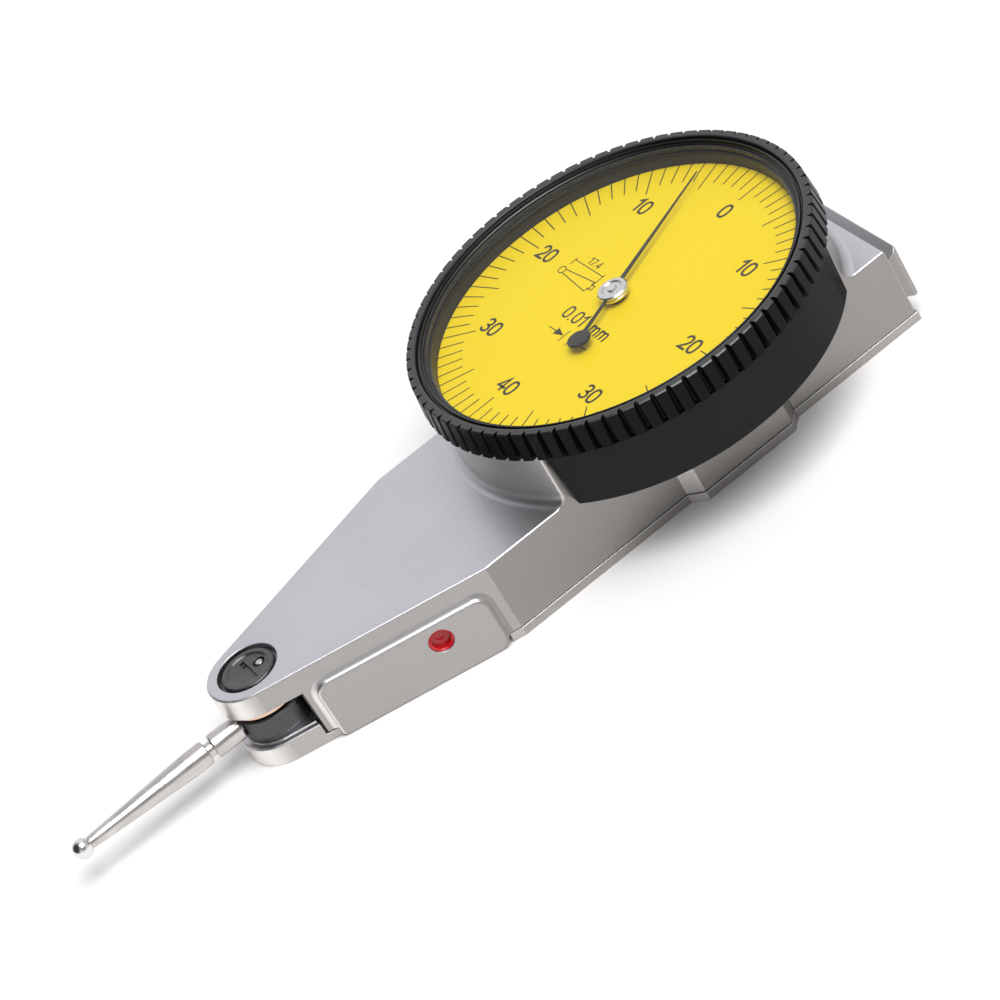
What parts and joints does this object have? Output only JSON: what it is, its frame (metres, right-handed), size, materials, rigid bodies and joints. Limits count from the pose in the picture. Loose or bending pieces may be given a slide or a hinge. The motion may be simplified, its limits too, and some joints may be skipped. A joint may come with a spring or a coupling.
{
  "type": "dial test indicator",
  "caption": "Lever-type dial test indicator with swivelling ball stylus, rotating bezel with yellow scale, gear train and a rear dovetail for clamping.",
  "frame": {"origin": "where the dial and pointer axis meets the outer face of the bottom cover", "axes": "+X towards the tail with the rear dovetail, -X towards the stylus, +Z out of the dial face"},
  "size_m": [0.0906, 0.0406, 0.0176],
  "materials": {
    "cast_metal": "satin blasted light alloy",
    "black_case": "smooth black",
    "black_bezel": "matt black with serrations",
    "crystal": "clear",
    "dial_yellow": "matt yellow with black scale",
    "steel": "turned satin steel",
    "polished_ball": "polished hard metal",
    "blackened": "blackened steel",
    "bronze": "bronze",
    "brass": "brass",
    "red_seal": "red plug",
    "jewel": "ruby",
    "rubber": "black elastomer"
  },
  "bodies": {
    "frame": {"body_casting": "cast_metal", "bottom_cover": "cast_metal", "cover_screws": "steel", "pivot_cap": "blackened", "cap_pin": "steel", "upper_pivot_bush": "brass", "lower_pivot_bush": "brass", "pivot_plug": "steel", "thrust_washer": "bronze", "spacer_ring": "blackened", "seal_plug": "red_seal", "dial_case": "black_case", "case_screws": "steel", "friction_ring": "rubber", "movement_bridge": "brass", "bridge_pillars": "steel", "bridge_screws": "steel", "jewel_centre_lower": "jewel", "jewel_centre_upper": "jewel", "jewel_wheel_lower": "jewel", "jewel_wheel_upper": "jewel", "hairspring": "bronze", "hairspring_stud": "brass", "spring_post": "steel", "lever_spring": "steel"},
    "lever": {"lever_arbor": "steel", "swing_lever": "steel", "sector_gear": "brass", "sector_rivets": "brass", "spring_pin": "steel", "clutch_spring": "steel", "clutch_collar": "steel"},
    "stylus_arm": {"stylus_hub": "blackened", "stylus": "steel", "contact_ball": "polished_ball"},
    "wheel_shaft": {"wheel_arbor": "steel", "intermediate_wheel": "brass", "intermediate_pinion": "steel"},
    "pointer_shaft": {"centre_arbor": "steel", "centre_pinion": "steel", "hairspring_collet": "brass", "pointer": "blackened", "pointer_hub": "steel", "pointer_collar": "blackened"},
    "bezel_ring": {"bezel": "black_bezel", "crystal": "crystal", "crystal_gasket": "rubber", "dial_plate": "dial_yellow"}
  },
  "joints": [
    {"name": "pointer_turn", "type": "hinge", "parent": "frame", "child": "pointer_shaft", "pos_m": [0, 0, 0.01595], "axis": [0, 0, 1], "range_deg": [-220, 220]},
    {"name": "wheel_turn", "type": "hinge", "parent": "frame", "child": "wheel_shaft", "pos_m": [-0.009, 0, 0.0044], "axis": [0, 0, 1], "range_deg": [-18.7, 18.7]},
    {"name": "lever_swing", "type": "hinge", "parent": "frame", "child": "lever", "pos_m": [-0.0465, 0, 0.004], "axis": [0, 0, 1], "range_deg": [-1.34, 1.34], "stiffness_Nm_per_rad": 0.05, "deforming": ["lever_spring"]},
    {"name": "stylus_set", "type": "hinge", "parent": "lever", "child": "stylus_arm", "pos_m": [-0.0465, 0, 0.004], "axis": [0, 0, 1], "range_deg": [-100, 100]},
    {"name": "bezel_turn", "type": "hinge", "parent": "frame", "child": "bezel_ring", "pos_m": [0, 0, 0.016], "axis": [0, 0, 1], "continuous": true}
  ],
  "couplings": [
    {"joint": "wheel_turn", "follows": "pointer_turn", "ratio": -0.084337},
    {"joint": "lever_swing", "follows": "pointer_turn", "ratio": 0.0060241}
  ]
}
